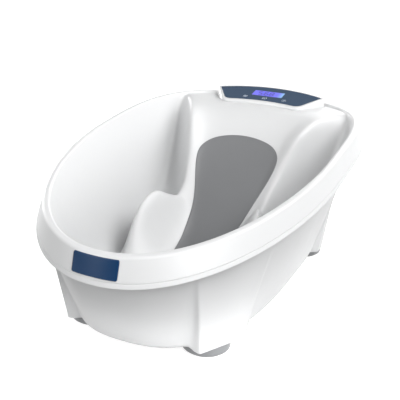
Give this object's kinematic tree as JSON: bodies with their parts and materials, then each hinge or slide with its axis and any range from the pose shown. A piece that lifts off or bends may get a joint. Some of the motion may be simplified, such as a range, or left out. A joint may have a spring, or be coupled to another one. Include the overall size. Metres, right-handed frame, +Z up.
{
  "type": "baby bath scale",
  "caption": "Infant bath tub on weighing feet, with a moulded recliner, thigh humps and a tilted display console with press keys.",
  "frame": {"origin": "on the floor under the middle of the tub", "axes": "+X across the tub, +Y towards the head end with the console, +Z up"},
  "size_m": [0.5204, 0.8, 0.3312],
  "materials": {
    "tub_white": "glossy white polypropylene",
    "shell_white": "satin white polypropylene",
    "bezel_white": "glossy white ABS",
    "pad_grey": "matte moulded elastomer",
    "badge_navy": "printed gloss plate, bare",
    "panel_navy": "back-printed acrylic",
    "key_navy": "back-printed acrylic",
    "lcd": "lit display glass",
    "backlight": "light guide",
    "board_green": "fibreglass board",
    "switch_black": "moulded black",
    "tray_grey": "moulded grey",
    "contact_steel": "nickel plated",
    "cell_jacket": "plain cell jacket",
    "steel": "stainless",
    "cell_steel": "sprung steel",
    "plug_grey": "moulded elastomer",
    "gasket_grey": "sealing elastomer",
    "foot_grey": "translucent grey",
    "foot_rubber": "non-slip rubber"
  },
  "bodies": {
    "tub": {"badge_plate": "badge_navy", "batteries": "cell_jacket", "battery_contacts": "contact_steel", "battery_tray": "tray_grey", "buzzer": "switch_black", "console_board": "board_green", "console_gasket": "gasket_grey", "console_housing": "bezel_white", "console_panel": "panel_navy", "console_screws": "steel", "drain_sleeve": "shell_white", "inner_tub": "tub_white", "key_switches": "switch_black", "lcd_backlight": "backlight", "lcd_glass": "lcd", "load_cell_front_left": "cell_steel", "load_cell_front_right": "cell_steel", "load_cell_rear_left": "cell_steel", "load_cell_rear_right": "cell_steel", "load_cell_screws": "steel", "outer_shell": "shell_white", "recline_pad": "pad_grey", "sensor_nut": "tray_grey", "sensor_seal": "gasket_grey", "shell_screws": "steel", "temperature_sensor": "steel"},
    "key_left": {"key_left": "key_navy"},
    "key_middle": {"key_middle": "key_navy"},
    "key_right": {"key_right": "key_navy"},
    "battery_door": {"battery_door": "bezel_white"},
    "drain_plug": {"drain_plug": "plug_grey", "drain_ring": "gasket_grey"},
    "foot_front_left": {"foot_disc_front_left": "foot_grey", "foot_pad_front_left": "foot_rubber", "foot_clip_front_left": "steel"},
    "foot_front_right": {"foot_disc_front_right": "foot_grey", "foot_pad_front_right": "foot_rubber", "foot_clip_front_right": "steel"},
    "foot_rear_left": {"foot_disc_rear_left": "foot_grey", "foot_pad_rear_left": "foot_rubber", "foot_clip_rear_left": "steel"},
    "foot_rear_right": {"foot_disc_rear_right": "foot_grey", "foot_pad_rear_right": "foot_rubber", "foot_clip_rear_right": "steel"}
  },
  "joints": [
    {"name": "key_left_press", "type": "slide", "parent": "tub", "child": "key_left", "axis": [0, 0.2079, -0.9781], "range_m": [0, 0.0005], "stiffness_N_per_m": 4000},
    {"name": "key_middle_press", "type": "slide", "parent": "tub", "child": "key_middle", "axis": [0, 0.2079, -0.9781], "range_m": [0, 0.0005], "stiffness_N_per_m": 4000},
    {"name": "key_right_press", "type": "slide", "parent": "tub", "child": "key_right", "axis": [0, 0.2079, -0.9781], "range_m": [0, 0.0005], "stiffness_N_per_m": 4000},
    {"name": "battery_door_pull", "type": "slide", "parent": "tub", "child": "battery_door", "axis": [0, 1, 0], "range_m": [0, 0.03]},
    {"name": "drain_plug_lift", "type": "slide", "parent": "tub", "child": "drain_plug", "axis": [0, 0, 1], "range_m": [0, 0.03]},
    {"name": "foot_front_left_travel", "type": "slide", "parent": "tub", "child": "foot_front_left", "axis": [0, 0, 1], "range_m": [-0.001, 0]},
    {"name": "foot_front_right_travel", "type": "slide", "parent": "tub", "child": "foot_front_right", "axis": [0, 0, 1], "range_m": [-0.001, 0]},
    {"name": "foot_rear_left_travel", "type": "slide", "parent": "tub", "child": "foot_rear_left", "axis": [0, 0, 1], "range_m": [-0.001, 0]},
    {"name": "foot_rear_right_travel", "type": "slide", "parent": "tub", "child": "foot_rear_right", "axis": [0, 0, 1], "range_m": [-0.001, 0]}
  ]
}
